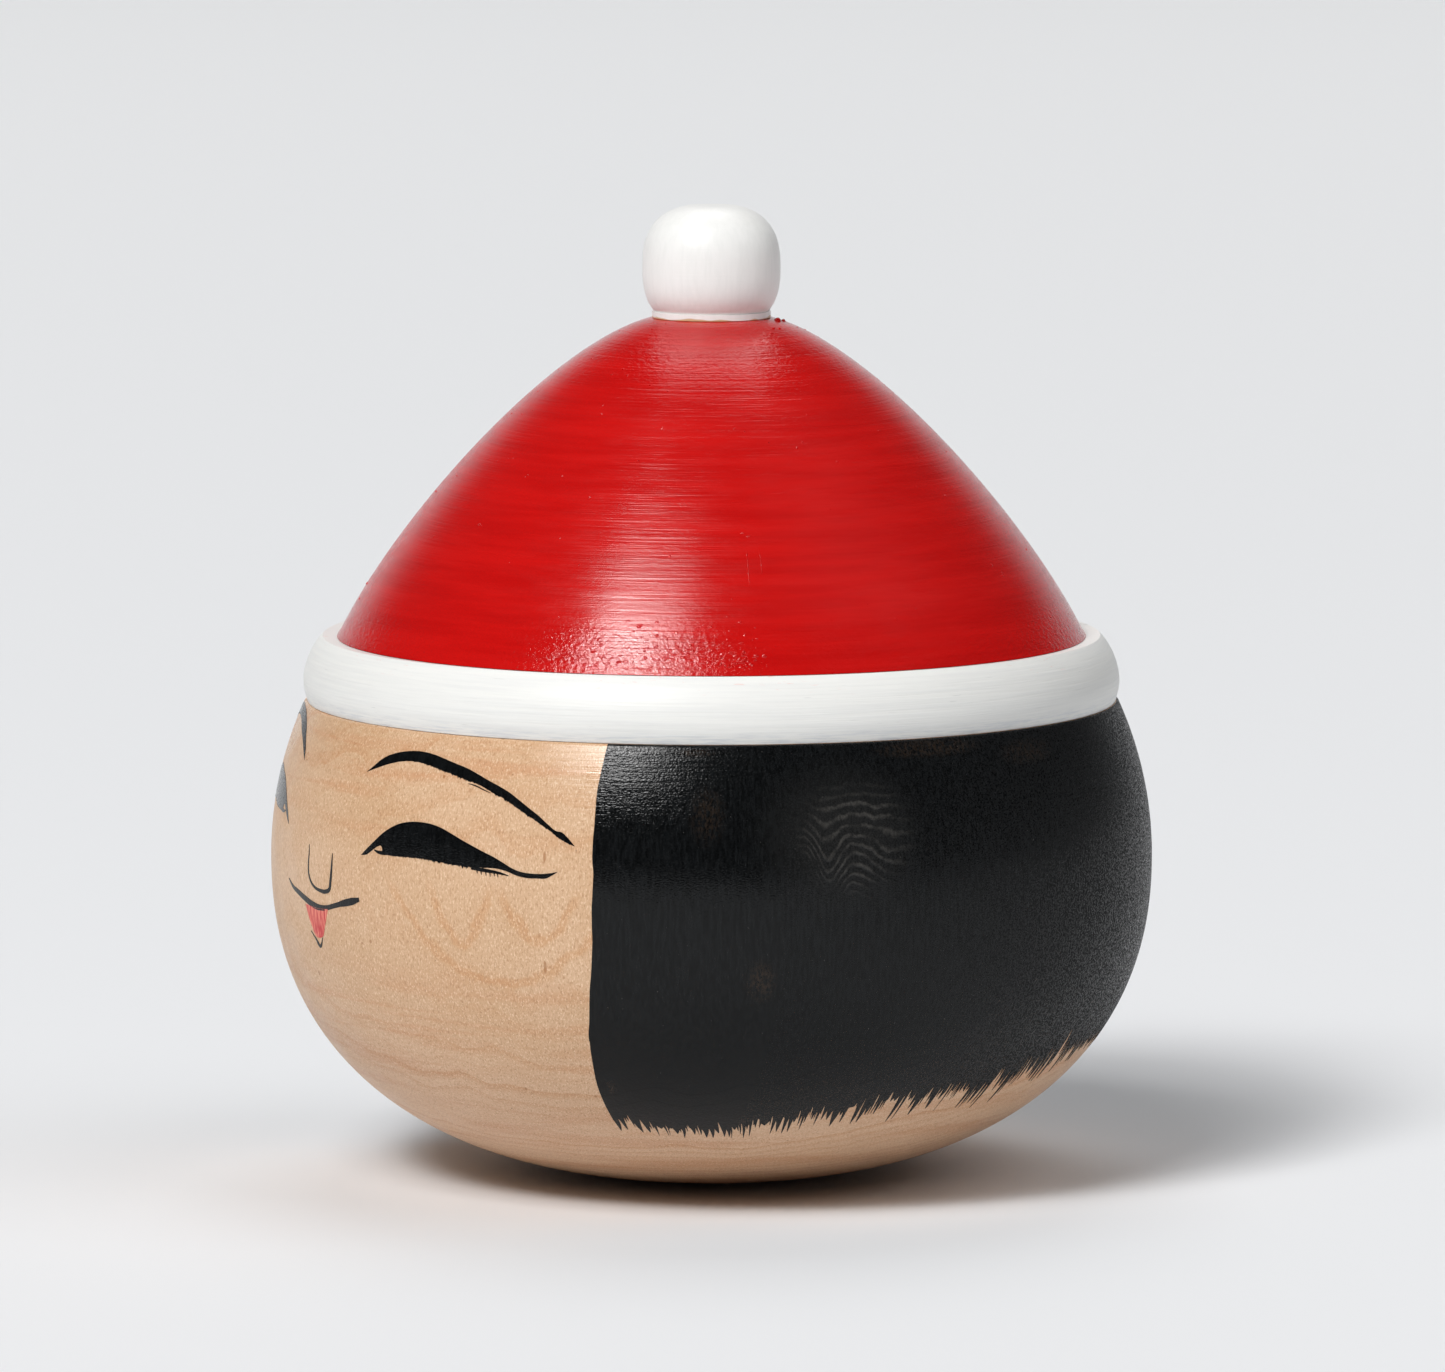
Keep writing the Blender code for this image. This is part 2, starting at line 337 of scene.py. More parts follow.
class Surface:
    """One material's nodes. Texture space is the object's own, in millimetres."""

    def __init__(self, name, **sockets):
        self.material = bpy.data.materials.new(name)
        self.material.use_nodes = True
        self.tree = self.material.node_tree
        self.shader = self.tree.nodes["Principled BSDF"]
        self.set(**sockets)
        place = self.tree.nodes.new("ShaderNodeTexCoord").outputs["Object"]
        self.point = self.vector("SCALE", place, scale=1 / MM)

    def feed(self, socket, value):
        """Link a node's output to a socket, or set the socket to a value."""
        if isinstance(value, bpy.types.NodeSocket):
            self.tree.links.new(value, socket)
        elif socket.type == "RGBA" and len(value) == 3:
            socket.default_value = (*value, 1)
        else:
            socket.default_value = value

    def add(self, kind, settings, inputs):
        node = self.tree.nodes.new(kind)
        for name, value in settings.items():
            setattr(node, name, value)
        for key, value in inputs.items():
            if value is not None:
                self.feed(node.inputs[key], value)
        return node

    def set(self, **sockets):
        """Feed these sockets of the shader, and give the material."""
        for socket, value in sockets.items():
            self.feed(self.shader.inputs[socket.replace("_", " ")], value)
        return self.material

    def math(self, operation, a, b=None):
        return self.add("ShaderNodeMath", {"operation": operation}, {0: a, 1: b}).outputs[0]

    def vector(self, operation, a, b=None, scale=None):
        node = self.add(
            "ShaderNodeVectorMath", {"operation": operation}, {0: a, 1: b, "Scale": scale}
        )
        number = operation in ("LENGTH", "DOT_PRODUCT")
        return node.outputs["Value" if number else "Vector"]

    def parts(self, vector):
        return self.add("ShaderNodeSeparateXYZ", {}, {0: vector}).outputs

    def joined(self, x, y, z):
        return self.add("ShaderNodeCombineXYZ", {}, {0: x, 1: y, 2: z}).outputs[0]

    def noise(self, size, detail=2, roughness=0.5, distortion=0, seed=0, point=None):
        """Noise from 0 to 1 whose features are about this big: one length, or three by axis."""
        if isinstance(size, (int, float)):
            size = (size, size, size)
        stretched = self.vector("MULTIPLY", point or self.point, [1 / value for value in size])
        moved = self.vector("ADD", stretched, (seed, 1.7 * seed, 0.6 * seed))
        return self.add("ShaderNodeTexNoise", {}, {
            "Vector": moved, "Scale": 1, "Detail": detail, "Roughness": roughness,
            "Distortion": distortion,
        }).outputs[0]

    def across(self, angle):
        """How far a point is, in mm, to the doll's left of the meridian at this angle."""
        turn = math.radians(angle)
        return self.vector("DOT_PRODUCT", self.point, (math.cos(turn), math.sin(turn), 0))

    def times(self, *values):
        product = values[0]
        for value in values[1:]:
            product = self.math("MULTIPLY", product, value)
        return product

    def spot(self, angle, height, half_width, half_height, soft=0.5):
        """1 inside an oval mark on the head, fading to 0 at its edge."""
        turn = math.radians(angle)
        out = float(head_radius(height))
        centre = (out * math.sin(turn), -out * math.cos(turn), height)
        away = self.vector("SUBTRACT", self.point, centre)
        scaled = self.vector("MULTIPLY", away, (1 / half_width, 1 / half_width, 1 / half_height))
        return self.range(self.vector("LENGTH", scaled), 1 - soft, 1, 1, 0)

    def arch(self, angle, height, curve, half_width, waver):
        """1 along a soft line that passes through a point and bends up (or down) from it."""
        aside = self.across(angle)
        z = self.parts(self.point)[2]
        bend = self.times(aside, aside, curve)
        off = self.math("SUBTRACT", self.math("ADD", self.math("SUBTRACT", z, height), waver), bend)
        slope = self.times(aside, 2 * curve)
        steep = self.math("SQRT", self.math("ADD", self.times(slope, slope), 1))
        away = self.math("DIVIDE", self.math("ABSOLUTE", off), steep)
        return self.range(away, 0.2 * half_width, half_width, 1, 0)

    def range(self, value, low, high, to_low=0, to_high=1):
        """A smooth step from to_low to to_high as the value goes from low to high."""
        return self.add("ShaderNodeMapRange", {"interpolation_type": "SMOOTHSTEP"}, {
            "Value": value, "From Min": low, "From Max": high, "To Min": to_low, "To Max": to_high,
        }).outputs[0]

    def mix(self, factor, a, b):
        """The colour a where the factor is 0, and b where it is 1."""
        node = self.add("ShaderNodeMix", {"data_type": "RGBA"}, {})
        values = {"Factor_Float": factor, "A_Color": a, "B_Color": b}
        for socket in node.inputs:
            if socket.identifier in values:
                self.feed(socket, values[socket.identifier])
        return next(s for s in node.outputs if s.identifier == "Result_Color")

    def bump(self, height, distance, strength=1, normal=None):
        """Relief this many mm deep where the height goes from 0 to 1."""
        return self.add("ShaderNodeBump", {}, {
            "Height": height, "Distance": distance * MM, "Strength": strength, "Normal": normal,
        }).outputs[0]


PITH = (-5, 7)
RING_STEP = 1.15


def growth(mat):
    """How far out from the pith a point of the wood is, in rings, with the trunk's waves."""
    x, y, _ = mat.parts(mat.point)
    from_pith = mat.vector("LENGTH", mat.vector("SUBTRACT", mat.joined(x, y, 0), (*PITH, 0)))
    waves = mat.times(mat.noise((6.5, 6.5, 40), 1.5, seed=3.1), 2.6)
    drift = mat.times(mat.noise((26, 26, 18), 1, seed=8.4), 3.5)
    out = mat.math("ADD", mat.math("ADD", from_pith, waves), drift)
    return mat.math("DIVIDE", out, RING_STEP)


def ring_lines(mat, rings):
    """A soft line from 0 to 1 at the end of each year's growth, uneven from year to year."""
    share = mat.math("FRACT", rings)
    line = mat.times(mat.range(share, 0.35, 0.92), mat.range(share, 0.93, 1, 1, 0))
    year = mat.math("FLOOR", rings)
    strength = mat.add(
        "ShaderNodeTexWhiteNoise", {"noise_dimensions": "1D"}, {"W": year}
    ).outputs["Value"]
    return mat.times(line, mat.range(strength, 0, 1, 0.15, 1))


WOOD_SPECKS = (  # angle, height, half width, half height
    (40.4, 37.5, 0.22, 0.85), (40.4, 26.5, 0.22, 1.05), (12.4, 27.4, 0.24, 0.26),
    (10.6, 27.1, 0.18, 0.16), (-2.7, 22.8, 0.26, 0.34), (33.6, 13.3, 0.18, 0.55),
    (44.6, 12.9, 0.22, 0.18), (24, 44.6, 0.2, 0.24),
)
WOOD_LOOPS = ((28.4, 28.5, 0.42), (39.6, 29.3, 0.27), (34, 24.6, 0.05))  # angle, foot, bend


def wood_colour(mat):
    """Pale maple-like wood: bands and ring lines, loops below the eye, flecks, pores, specks, and
    painted light that makes it paler towards the bottom.
    """
    lines = ring_lines(mat, growth(mat))
    z = mat.parts(mat.point)[2]
    from_middle = mat.math("ABSOLUTE", mat.math("SUBTRACT", z, 31))
    broad = mat.noise((16, 16, 12), 2, seed=1)
    base = mat.mix(mat.range(broad, 0.3, 0.7), (0.61, 0.385, 0.222), (0.67, 0.443, 0.277))
    # Painted light: the wood grows paler towards the bottom, lifting the shaded lower head.
    low = mat.range(z, 4, 26, 1, 0)
    base = mat.mix(mat.times(low, 0.62), base, (0.78, 0.518, 0.348))
    bands = mat.noise((28, 28, 1.5), 3, 0.55, 0.4, seed=14)
    tinted = mat.mix(
        mat.times(mat.range(bands, 0.46, 0.68), mat.range(from_middle, 3, 12), 0.52),
        base, (0.58, 0.275, 0.135),
    )
    ringed = mat.mix(
        mat.times(lines, mat.range(from_middle, 4, 12, 0.18, 0.55)),
        tinted, (0.54, 0.245, 0.1),
    )
    waver = mat.times(mat.math("SUBTRACT", mat.noise(2.6, 2, seed=15), 0.5), 2.6)
    below_eye = mat.range(z, 32, 35, 1, 0)
    for angle, foot, bend in WOOD_LOOPS:
        loop = mat.arch(angle, foot, bend, 0.75, waver)
        ringed = mat.mix(mat.times(loop, below_eye, 0.48), ringed, (0.56, 0.265, 0.105))
    fleck = mat.noise((0.18, 0.18, 0.46), 3, 0.7, seed=5)
    flecked = mat.mix(mat.range(fleck, 0.5, 0.66, 0, 0.62), ringed, (0.42, 0.205, 0.09))
    pale = mat.noise((0.16, 0.16, 0.36), 3, 0.7, seed=9)
    streaked = mat.mix(mat.range(pale, 0.5, 0.68, 0, 0.68), flecked, (0.88, 0.67, 0.47))
    pores = mat.range(mat.noise(0.3, 1, seed=16), 0.745, 0.79)
    marked = mat.mix(
        mat.times(pores, mat.range(mat.noise(5, 1, seed=17), 0.5, 0.62), 0.6),
        streaked, (0.25, 0.12, 0.06),
    )
    for speck in WOOD_SPECKS:
        marked = mat.mix(mat.times(mat.spot(*speck), 0.7), marked, (0.38, 0.165, 0.06))
    return marked


def wood(name, roughness):
    """Bare turned wood of about this roughness, smoother where the hat has rubbed it."""
    mat = Surface(name, Specular_IOR_Level=0.45)
    fine = mat.noise((0.2, 0.2, 0.6), 3, 0.6, seed=12)
    lathe = mat.noise((7, 7, 0.3), 2, 0.6, seed=13)
    uneven = mat.range(mat.noise(3, 2, seed=2), 0.3, 0.7, roughness - 0.06, roughness + 0.06)
    polish = mat.range(mat.parts(mat.point)[2], 41, 45.5, 0, 0.16)
    return mat.set(
        Base_Color=wood_colour(mat),
        Roughness=mat.math("SUBTRACT", uneven, polish),
        Normal=mat.bump(fine, 0.014, 0.8, mat.bump(lathe, 0.024, 0.9)),
    )


# The feathered grain: level lines of the wood, this far apart, that dip beside a small arch.
FEATHER_ANGLE, FEATHER_Z, FEATHER_STEP = 80.3, 38.2, 0.95
FEATHER_START = 1.5
FEATHER_DIPS = ((-5.2, -2.6, -4.1), (-2.6, 0, 2.6), (0, 4.7, -2.2))  # across from, to; rise
FEATHER_SPOT = (80.8, 39.6, 7, 6.6, 0.6)  # angle, height, half width, half height, fading
# The spot of a grey haze of painted sheen over the feathered grain.
PAINTED_SHEEN_SPOT = (79, 40, 11, 9, 0.85)
THIN_PATCHES = (  # the same, and strength
    (61.5, 41.9, 2.2, 3.9, 0.8, 0.42), (93, 47.7, 7.5, 1.1, 0.7, 0.55),
    (60, 47.9, 2.5, 0.5, 0.7, 0.5), (68.4, 25.4, 2, 2.8, 0.9, 0.75),
    (110, 46.5, 5, 1.6, 0.8, 0.4), (47.6, 14, 0.9, 2.6, 0.7, 0.5),
)


def feather_lines(mat):
    """The feathered grain under the black, from 0 to 1: real relief, and lines of painted sheen in
    the colour.
    """
    z = mat.parts(mat.point)[2]
    aside = mat.across(FEATHER_ANGLE)
    dips = FEATHER_START
    for low, high, change in FEATHER_DIPS:
        dips = mat.math("ADD", dips, mat.range(aside, low, high, 0, change))
    calm = mat.range(z, FEATHER_Z - 2, FEATHER_Z + 4.5, 1, 0.18)
    waver = mat.times(mat.noise((1.6, 1.6, 2.5), 2, 0.5, seed=22), 1.1)
    lines = mat.math("ADD", mat.math("SUBTRACT", z, mat.times(dips, calm)), waver)
    share = mat.math("FRACT", mat.times(lines, 1 / FEATHER_STEP))
    ridges = mat.times(mat.range(share, 0.3, 0.62), mat.range(share, 0.66, 0.88, 1, 0))
    patchy = mat.range(mat.noise(2, 2, seed=26), 0.3, 0.6, 0.15, 1)
    return mat.times(ridges, patchy, mat.spot(*FEATHER_SPOT))


def ink(name):
    """Black brushed on bare wood: thin in places, with the wood's grain under it, and painted grey
    sheen over the feathered grain.

    It is glossiest beside the face, and rougher towards the back.
    """
    mat = Surface(name, Specular_IOR_Level=0.23)
    _, y, z = mat.parts(mat.point)
    streaks = mat.noise((0.26, 0.26, 2.4), 3, 0.6, seed=4)
    black = mat.mix(mat.range(streaks, 0.36, 0.64), (0.0016, 0.0019, 0.0021),
                    (0.0056, 0.0064, 0.007))
    grain = mat.noise((0.3, 0.3, 0.5), 4, 0.7, seed=21)
    for *patch, strength in THIN_PATCHES:
        thin = mat.times(mat.spot(*patch), mat.range(grain, 0.42, 0.6), strength)
        black = mat.mix(thin, black, (0.036, 0.023, 0.015))
    # Painted sheen: a grey haze over the feathered grain.
    painted_sheen_haze = mat.times(mat.spot(*PAINTED_SHEEN_SPOT), mat.range(grain, 0.3, 0.6, 0.5, 0.9))
    black = mat.mix(painted_sheen_haze, black, (0.016, 0.016, 0.0158))
    feather = feather_lines(mat)
    # Painted sheen: grey lines along the feathered grain, whose relief is real.
    black = mat.mix(mat.times(feather, mat.range(grain, 0.3, 0.6, 0.25, 0.85)), black,
                    (0.056, 0.053, 0.049))
    dust = mat.range(mat.noise(0.24, 1, seed=23), 0.8, 0.83)
    colour = mat.mix(mat.times(dust, 0.6), black, (0.16, 0.15, 0.14))

    rings = mat.bump(ring_lines(mat, growth(mat)), 0.018, 0.6)
    near_hat = mat.range(z, 36, 45)
    strokes = mat.times(mat.noise((5, 5, 0.26), 2, 0.6, seed=24), near_hat)
    stroked = mat.bump(strokes, 0.045, 0.9, mat.bump(feather, 0.04, 0.7, rings))
    bristles = mat.times(mat.noise((0.3, 0.3, 1.8), 3, 0.6, seed=6),
                         mat.range(near_hat, 0, 1, 1, 0.25))
    bristled = mat.bump(bristles, 0.035, 0.85, stroked)
    glitter = mat.times(mat.noise((0.24, 0.24, 0.15), 1, 0.5, seed=25),
                        mat.range(near_hat, 0, 1, 0.35, 1))
    grit = mat.range(mat.noise(0.19, 2, 0.6, seed=27), 0.4, 0.58, 0.5, 1.7)
    return mat.set(
        Base_Color=colour,
        Roughness=mat.times(mat.range(y, -24, 26, 0.13, 0.46), grit),
        Normal=mat.bump(glitter, 0.036, 0.95, bristled),
    )


DOME_SLOPE = 0.735  # mm along the dome for each mm that height less radius grows


def enamel():
    """Red brushed round the dome, wrinkled in the crease above the band and near the top."""
    mat = Surface("red_enamel", Specular_IOR_Level=0.5)
    x, y, z = mat.parts(mat.point)
    out = mat.vector("LENGTH", mat.joined(x, y, 0))
    lane = mat.times(mat.math("SUBTRACT", z, out), DOME_SLOPE)
    brushed_way = mat.joined(x, y, lane)
    strokes = mat.noise((16, 16, 0.34), 3, 0.6, seed=30, point=brushed_way)
    hairs = mat.noise((9, 9, 0.18), 2, 0.55, seed=34, point=brushed_way)
    peel = mat.noise((0.6, 0.6, 0.42), 3, 0.6, seed=31, point=brushed_way)
    shade = mat.noise((18, 18, 1.4), 3, 0.6, seed=32, point=brushed_way)
    wrinkled = mat.math("MAXIMUM", mat.range(z, 56, 61.5, 1, 0.16),
                        mat.range(z, 80, 84.5, 0.16, 0.55))
    brushed = mat.bump(hairs, 0.016, 0.85, mat.bump(strokes, 0.05, 0.9))
    satin = mat.math("MINIMUM", mat.range(z, 57, 62), mat.range(z, 79, 84, 1, 0))
    uneven = mat.range(mat.noise((4, 4, 0.8), 3, seed=33), 0.3, 0.7, 0.11, 0.17)
    return mat.set(
        Base_Color=mat.mix(mat.range(shade, 0.3, 0.7), (0.475, 0.0024, 0.002),
                           (0.55, 0.0042, 0.0034)),
        Roughness=mat.math("ADD", uneven, mat.times(satin, 0.08)),
        Normal=mat.bump(mat.times(peel, wrinkled), 0.1, 0.9, brushed),
    )


def band_white():
    """White brushed along the band, dirty in places, greyer in patches towards its foot, smeared by
    the red.
    """
    mat = Surface("band_white", Specular_IOR_Level=0.33, Roughness=0.42)
    z = mat.parts(mat.point)[2]
    strokes = mat.noise((16, 16, 0.35), 3, 0.6, seed=40)
    base = mat.mix(mat.range(strokes, 0.3, 0.75), (0.825, 0.825, 0.8),
                   (0.775, 0.778, 0.762))
    dashes = mat.noise((3.6, 3.6, 0.13), 2, 0.5, seed=41)
    dashed = mat.mix(
        mat.times(mat.range(dashes, 0.7, 0.78),
                  mat.range(mat.noise(9, 1, seed=42), 0.42, 0.6), 0.42),
        base, (0.33, 0.34, 0.35),
    )
    # Greyer, bluish patches towards the band's foot.
    foot = mat.range(z, 48.9, 50.3, 1, 0)
    foot_patches = mat.range(mat.noise((3.4, 3.4, 0.22), 3, 0.65, seed=43), 0.42, 0.68)
    greyed = mat.mix(mat.times(foot, foot_patches, 0.5), dashed, (0.5, 0.54, 0.6))
    crease = mat.range(z, 53, 55)
    smears = mat.range(mat.noise((1.6, 1.6, 0.35), 3, 0.6, seed=44), 0.6, 0.76)
    pink = mat.times(
        smears, mat.range(mat.noise(11, 1, seed=45), 0.45, 0.6), crease, 0.42
    )
    return mat.set(
        Base_Color=mat.mix(pink, greyed, (0.82, 0.3, 0.25)),
        Normal=mat.bump(strokes, 0.055, 0.9),
    )


def pompom_white():
    """White brushed upright, with painted red bounce light from the crown below, and bare wood
    under the collar.
    """
    mat = Surface("pompom_white", Specular_IOR_Level=0.45, Roughness=0.36)
    z = mat.parts(mat.point)[2]
    upright = mat.noise((0.55, 0.55, 3.5), 3, 0.6, seed=46)
    level = mat.noise((9, 9, 0.3), 3, 0.6, seed=47)
    base = mat.mix(mat.range(upright, 0.35, 0.75), (0.865, 0.862, 0.845),
                   (0.83, 0.83, 0.812))
    # Painted red bounce light from the crown, low on the ball.
    painted_red_bounce = mat.times(mat.range(z, 88.4, 91.6, 1, 0), mat.range(level, 0.3, 0.7),
                      0.12)
    base = mat.mix(painted_red_bounce, base, (0.93, 0.8, 0.78))
    edge = mat.math("ADD", z, mat.times(mat.noise(2.6, 1, seed=48), 0.9))
    bare = mat.range(edge, DOME_TOP_Z + 0.52, DOME_TOP_Z + 0.66, 1, 0)
    return mat.set(
        Base_Color=mat.mix(bare, base, (0.62, 0.4, 0.22)),
        Normal=mat.bump(level, 0.02, 0.7, mat.bump(upright, 0.022, 0.7)),
    )


def steel():
    mat = Surface("turned_steel", Metallic=1, Roughness=0.34)
    x, y, z = mat.parts(mat.point)
    radius = mat.vector("LENGTH", mat.joined(x, y, 0))
    rings = mat.noise(0.25, 2, point=mat.joined(radius, z, 0))
    return mat.set(
        Base_Color=mat.mix(mat.noise(4, 3), (0.42, 0.41, 0.4), (0.52, 0.51, 0.5)),
        Normal=mat.bump(rings, 0.02, 0.7),
    )


def lip_red():
    mat = Surface("lip_red", Roughness=0.5, Specular_IOR_Level=0.3)
    streaks = mat.noise((0.22, 0.22, 3.2), 2, 0.6, seed=50)
    return mat.set(
        Base_Color=mat.mix(mat.range(streaks, 0.38, 0.66), (0.56, 0.05, 0.055),
                           (0.8, 0.27, 0.2)),
        Normal=mat.bump(streaks, 0.01, 0.7),
    )


# -------- paint films

def head_point(angle, height, lift):
    """World points this far above the head's wood, at these angles and heights."""
    step = 0.05
    slope = (head_radius(height + step) - head_radius(height - step)) / (2 * step)
    length = np.sqrt(1 + slope ** 2)
    return placed(head_radius(height) + lift / length, angle, height - lift * slope / length)


def film(name, sheets, material):
    """Thin sheets on the head. Each is (angles, heights), its rows running downwards."""
    vertices, faces = [], []
    for angle, height in sheets:
        rows, columns = angle.shape
        start = sum(len(block) for block in vertices)
        vertices.append(head_point(angle, height, FILM_LIFT).reshape(-1, 3))
        faces += grid_faces(rows, columns, False, start)
        index = np.arange(rows * columns).reshape(rows, columns)
        rim = np.concatenate((index[0, :-1], index[:-1, -1], index[-1, :0:-1], index[:0:-1, 0]))
        below = head_point(angle.ravel()[rim], height.ravel()[rim], -FILM_DEPTH)
        vertices.append(below)
        low = start + rows * columns
        for i in range(len(rim)):
            j = (i + 1) % len(rim)
            faces.append([start + int(rim[i]), start + int(rim[j]), low + j, low + i])
    return new_piece(name, np.vstack(vertices), faces, HEAD, material)


def fray(angles, depth, spacing, seed):
    """How far a dry brush's bristles run past an edge, in mm, at each of these angles."""
    rng = np.random.default_rng(seed)
    along = np.radians(angles) * HEAD_RADIUS
    past = np.zeros_like(along)
    at = along[0]
    while at < along[-1]:
        width = spacing * rng.uniform(0.5, 1.5)
        reach = np.abs(along - at) / (0.5 * width)
        past = np.maximum(past, rng.beta(1, 1.6) * np.clip(1 - reach, 0, 1))
        at += 0.8 * width
    return past * depth


def between(upper, lower, columns, rows, rough):
    """A sheet between two outlines that share their first and last points.

    rough is the lower edge's (depths by angle, spacing, seed).
    """
    top, bottom = smooth_curve(upper, columns), smooth_curve(lower, columns)
    depths, spacing, seed = rough
    bottom[:, 1] -= fray(bottom[:, 0], from_table(depths, np.abs(bottom[:, 0])), spacing, seed)
    share = np.linspace(0, 1, rows)[:, None, None]
    sheet = (1 - share) * top + share * bottom
    return sheet[..., 0], sheet[..., 1]


def stroke(path, widths, columns=40, rows=4):
    """A brush stroke along a path of (angle, height), with its width in mm along the way."""
    line = smooth_curve(path, columns)
    across = np.radians(1) * head_radius(line[:, 1])
    flat = np.column_stack((line[:, 0] * across, line[:, 1]))
    run = np.gradient(flat, axis=0)
    run /= np.linalg.norm(run, axis=1)[:, None]
    side = np.column_stack((-run[:, 1], run[:, 0]))
    width = np.interp(np.linspace(0, 1, columns), np.linspace(0, 1, len(widths)), widths)
    offset = np.linspace(0.5, -0.5, rows)[:, None] * width
    return (line[:, 0] + offset * side[:, 0] / across), (line[:, 1] + offset * side[:, 1])


def mirrored(sheet):
    """The same sheet on the doll's other side."""
    return -sheet[0][:, ::-1], sheet[1][:, ::-1]


BROW_UPPER = (
    (9.2, 44.15), (10.4, 44.8), (11.5, 45.45), (12.9, 46), (14.4, 46.35), (16.1, 46.6),
    (17.9, 46.75), (19.7, 46.75), (21.5, 46.6), (23.5, 46.3), (25.5, 45.95), (27.5, 45.6),
    (29.3, 45.15), (31.2, 44.6), (33, 44.1), (34.7, 43.55), (36.2, 42.9), (37.7, 42.2),
    (39.2, 41.5), (40.6, 40.7), (41.8, 40.1), (42.6, 39.98), (43.2, 39.65), (43.8, 39.2),
    (44.4, 38.7),
)
BROW_LOWER = (
    (9.2, 44.15), (11.1, 44.65), (12.9, 45.1), (14.4, 45.4), (16.1, 45.65), (17.6, 45.75),
    (19.5, 45.7), (21.5, 45.5), (23.5, 45.2), (25, 44.98), (26.9, 44.65), (28.3, 44.42),
    (29.6, 44.28), (31, 43.88), (32.4, 43.4), (34.5, 42.8), (35.7, 42.3), (37.2, 41.68),
    (38.6, 41.12), (40, 40.52), (41.2, 39.97), (42, 39.52), (42.9, 39.18), (43.7, 38.9),
    (44.4, 38.68),
)
BROW_ROUGH = (((9, 0), (17, 0.06), (22, 0.2), (32, 0.26), (44, 0.1)), 0.22, 61)
BROW_WISPS = (
    (((28.2, 44.14), (29.4, 43.98), (30.7, 43.66), (31.8, 43.42)), (0.05, 0.13, 0.1, 0.04)),
    (((29, 44.3), (30, 44.12), (31.4, 43.74), (32.6, 43.4)), (0.04, 0.09, 0.12, 0.06)),
)
FAR_BROW_UPPER = (
    (9.6, 43.85), (10.5, 44.8), (12.5, 46.05), (14.2, 46.95), (16.1, 47.6), (19, 48.2),
    (22.5, 48.45), (27, 48.35), (31, 47.6), (35, 46.2), (39, 44.4), (42.5, 42.7),
    (45, 41.3),
)
FAR_BROW_LOWER = (
    (9.6, 43.85), (10.6, 44.35), (13.4, 45.55), (15.2, 46.1), (17.1, 46.65), (19.8, 47.25),
    (23.5, 47.5), (27.5, 47.2), (31, 46.5), (35, 45.2), (39, 43.6), (42.5, 42.1),
    (45, 41.3),
)
EYE_UPPER = (
    (10.8, 36.03), (11.9, 36.75), (13.2, 37.55), (14.4, 38.3), (15.7, 38.95), (17.4, 39.55),
    (19, 39.86), (20.9, 40), (22.8, 39.95), (24.6, 39.7), (26.5, 39.2), (28.3, 38.65),
    (30, 38.15), (31.7, 37.65), (33.3, 37.2), (34.7, 36.7), (35.9, 36.25), (37, 35.97),
    (38.4, 35.83), (39.9, 35.83), (41.1, 35.93), (42.3, 36.12),
)
EYE_LOWER = (
    (10.8, 36.03), (11.9, 36.15), (12.7, 36.5), (13.5, 36.9), (14.1, 37.14), (14.65, 37.2),
    (14.9, 36.98), (15, 36.5), (16, 36.4), (18.7, 36.43), (21.1, 36.5), (23.3, 36.42),
    (25.1, 36.3), (26.8, 36.2), (28.5, 36.12), (30.4, 36.1), (32.6, 36.13), (34, 36.08),
    (35.3, 35.88), (36.5, 35.57), (38, 35.36), (39.5, 35.37), (40.8, 35.44), (41.4, 35.68),
    (42.3, 36.12),
)
EYE_ROUGH = (((16, 0), (17, 0.12), (22, 0.26), (31, 0.36), (33, 0), (44, 0)), 0.24, 62)
EYE_STROKES = (
    (((13.4, 36.72), (14, 36.58), (14.8, 36.53), (15.9, 36.56)), (0.12, 0.32, 0.4, 0.38)),
    (((30, 36), (31.6, 35.87), (33.2, 35.77), (34.4, 35.65), (35.5, 35.47)),
     (0.34, 0.36, 0.34, 0.26, 0.08)),
)
LASH_Z = 35.72
LASHES = ((30.9, 0.18), (31.5, 0.26), (32.2, 0.34), (32.8, 0.42), (33.4, 0.34), (33.9, 0.4),
          (34.5, 0.22))  # angle, length
FAR_EYE_RISE = ((10.8, 1.26), (12, 1.65), (14, 1.75), (17, 1.9), (20, 2),
                (24, 2.6), (45, 2.7))
NOSE = (
    ((-2.3, 36), (-2.2, 35.2), (-2.3, 34.2), (-2.2, 33.2), (-1.6, 32.4), (-0.4, 31.85),
     (1.2, 31.64), (2.7, 31.66), (3.7, 32), (4, 32.9), (4.2, 34.2), (4.25, 35.65)),
    (0.1, 0.2, 0.25, 0.27, 0.28, 0.3, 0.34, 0.42, 0.44, 0.43, 0.38, 0.28, 0.1),
)
MOUTH = (
    ((-9.5, 31.9), (-8.2, 31.35), (-5.5, 30.8), (-3.5, 30.42), (-1.4, 30.06), (0.6, 29.88),
     (2.8, 30.03), (4.9, 30.42), (6.9, 30.82), (8.5, 31.1), (10.55, 31.5)),
    (0.12, 0.36, 0.5, 0.59, 0.64, 0.67, 0.65, 0.58, 0.5, 0.49, 0.53, 0.72, 0.76, 0.42),
)
LIP_UPPER = ((-3.4, 29.85), (-1.5, 29.8), (0.3, 29.75), (3.1, 29.9))
LIP_LOWER = ((-3.4, 29.85), (-2.3, 28.2), (-0.6, 26.75), (0.8, 26.9), (2.3, 28.6), (3.1, 29.9))
LIP_ROUGH = (((0, 0.28), (2, 0.2), (3.4, 0)), 0.3, 63)
CHIN_TICK = (((-2.4, 27.2), (-1.2, 26.5), (-0.1, 25.82), (0.4, 26.2), (0.9, 26.8)),
             (0.1, 0.18, 0.4, 0.26, 0.08))

